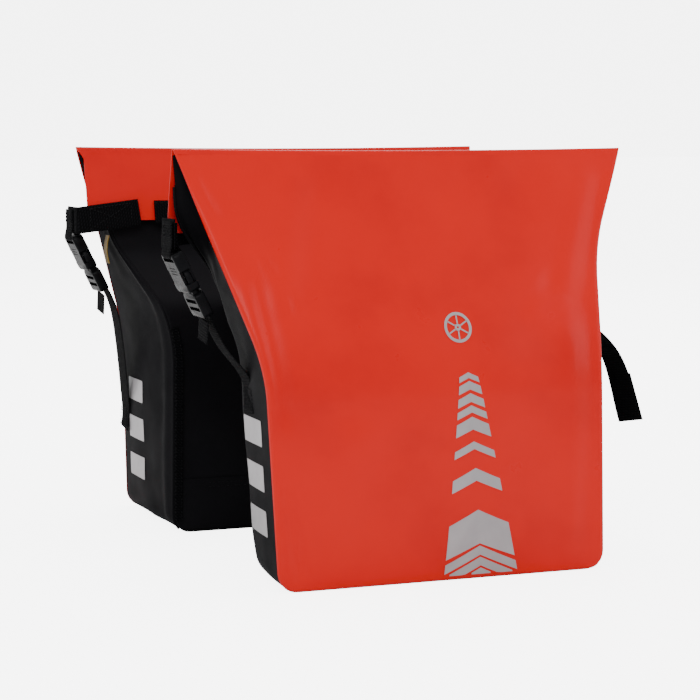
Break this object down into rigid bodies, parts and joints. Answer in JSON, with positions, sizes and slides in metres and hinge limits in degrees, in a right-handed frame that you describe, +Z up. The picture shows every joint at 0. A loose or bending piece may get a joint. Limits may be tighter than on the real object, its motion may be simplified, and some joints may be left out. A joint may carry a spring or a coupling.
{
  "type": "pannier bag",
  "caption": "Double bicycle pannier: two mirrored fold-top tarpaulin bags joined by a bridge over the rack, with buckled flaps and reflective patches.",
  "frame": {"origin": "on the ground plane, at the middle of the whole object's footprint, between the two bags", "axes": "+X along the bicycle towards its front, +Y across it to the left, +Z up"},
  "size_m": [0.4255, 0.454, 0.355],
  "materials": {
    "tarpaulin_red": "glossy coated tarpaulin",
    "tarpaulin_black": "satin coated tarpaulin",
    "webbing_black": "woven polypropylene webbing",
    "board_black": "ribbed polyethylene board",
    "reflective_grey": "retro-reflective film",
    "buckle_black": "moulded acetal",
    "lining_yellow": "coated lining fabric"
  },
  "bodies": {
    "bridge": {"bridge_panel": "tarpaulin_black", "rear_bridge_strap": "webbing_black", "front_bridge_strap": "webbing_black"},
    "right_bag": {"right_outer_panel": "tarpaulin_red", "right_inner_panel": "tarpaulin_black", "right_rear_gusset": "tarpaulin_black", "right_front_gusset": "tarpaulin_black", "right_base_panel": "tarpaulin_black", "right_base_board": "board_black", "right_back_board": "board_black", "right_back_strip": "webbing_black", "right_reflector_1": "reflective_grey", "right_reflector_2": "reflective_grey", "right_reflector_3": "reflective_grey", "right_rear_side_strap": "webbing_black", "right_front_side_strap": "webbing_black"},
    "right_mouth": {"right_outer_panel_top": "tarpaulin_red"},
    "right_flap": {"right_closing_flap": "tarpaulin_red", "right_flap_band": "webbing_black", "right_rear_upper_strap": "webbing_black", "right_front_upper_strap": "webbing_black", "right_rear_buckle_socket": "buckle_black", "right_front_buckle_socket": "buckle_black"},
    "right_rear_plug": {"right_rear_buckle_plug": "buckle_black", "right_rear_strap_tail": "webbing_black"},
    "right_front_plug": {"right_front_buckle_plug": "buckle_black", "right_front_strap_tail": "webbing_black"},
    "left_bag": {"left_outer_panel": "tarpaulin_red", "left_inner_panel": "tarpaulin_black", "left_rear_gusset": "tarpaulin_black", "left_front_gusset": "tarpaulin_black", "left_base_panel": "tarpaulin_black", "left_base_board": "board_black", "left_back_board": "board_black", "left_back_strip": "webbing_black", "left_reflector_1": "reflective_grey", "left_reflector_2": "reflective_grey", "left_reflector_3": "reflective_grey", "left_rear_side_strap": "webbing_black", "left_front_side_strap": "webbing_black", "left_rear_lining_tab": "lining_yellow"},
    "left_mouth": {"left_outer_panel_top": "tarpaulin_red"},
    "left_flap": {"left_closing_flap": "tarpaulin_red", "left_flap_band": "webbing_black", "left_rear_upper_strap": "webbing_black", "left_front_upper_strap": "webbing_black", "left_rear_buckle_socket": "buckle_black", "left_front_buckle_socket": "buckle_black"},
    "left_rear_plug": {"left_rear_buckle_plug": "buckle_black", "left_rear_strap_tail": "webbing_black"},
    "left_front_plug": {"left_front_buckle_plug": "buckle_black", "left_front_strap_tail": "webbing_black"}
  },
  "joints": [
    {"name": "right_bag_swing", "type": "hinge", "parent": "bridge", "child": "right_bag", "pos_m": [0, -0.062, 0.212], "axis": [-1, 0, 0], "range_deg": [-8, 30]},
    {"name": "right_mouth_open", "type": "hinge", "parent": "right_bag", "child": "right_mouth", "pos_m": [0, -0.2262, 0.18], "axis": [1, 0, 0], "range_deg": [0, 20]},
    {"name": "right_flap_lift", "type": "hinge", "parent": "right_mouth", "child": "right_flap", "pos_m": [0, -0.156, 0.355], "axis": [1, 0, 0], "range_deg": [0, 170]},
    {"name": "right_rear_plug_slide", "type": "slide", "parent": "right_bag", "child": "right_rear_plug", "axis": [0.4384, 0, -0.8988], "range_m": [0, 0.024]},
    {"name": "right_front_plug_slide", "type": "slide", "parent": "right_bag", "child": "right_front_plug", "axis": [-0.1305, 0, -0.9914], "range_m": [0, 0.024]},
    {"name": "left_bag_swing", "type": "hinge", "parent": "bridge", "child": "left_bag", "pos_m": [0, 0.062, 0.212], "axis": [1, 0, 0], "range_deg": [-8, 30]},
    {"name": "left_mouth_open", "type": "hinge", "parent": "left_bag", "child": "left_mouth", "pos_m": [0, 0.2262, 0.18], "axis": [-1, 0, 0], "range_deg": [0, 20]},
    {"name": "left_flap_lift", "type": "hinge", "parent": "left_mouth", "child": "left_flap", "pos_m": [0, 0.156, 0.355], "axis": [-1, 0, 0], "range_deg": [0, 170]},
    {"name": "left_rear_plug_slide", "type": "slide", "parent": "left_bag", "child": "left_rear_plug", "axis": [0.4384, 0, -0.8988], "range_m": [0, 0.024]},
    {"name": "left_front_plug_slide", "type": "slide", "parent": "left_bag", "child": "left_front_plug", "axis": [-0.1305, 0, -0.9914], "range_m": [0, 0.024]}
  ],
  "couplings": [
    {"joint": "right_mouth_open", "follows": "right_flap_lift", "ratio": 0.1},
    {"joint": "left_mouth_open", "follows": "left_flap_lift", "ratio": 0.1}
  ]
}
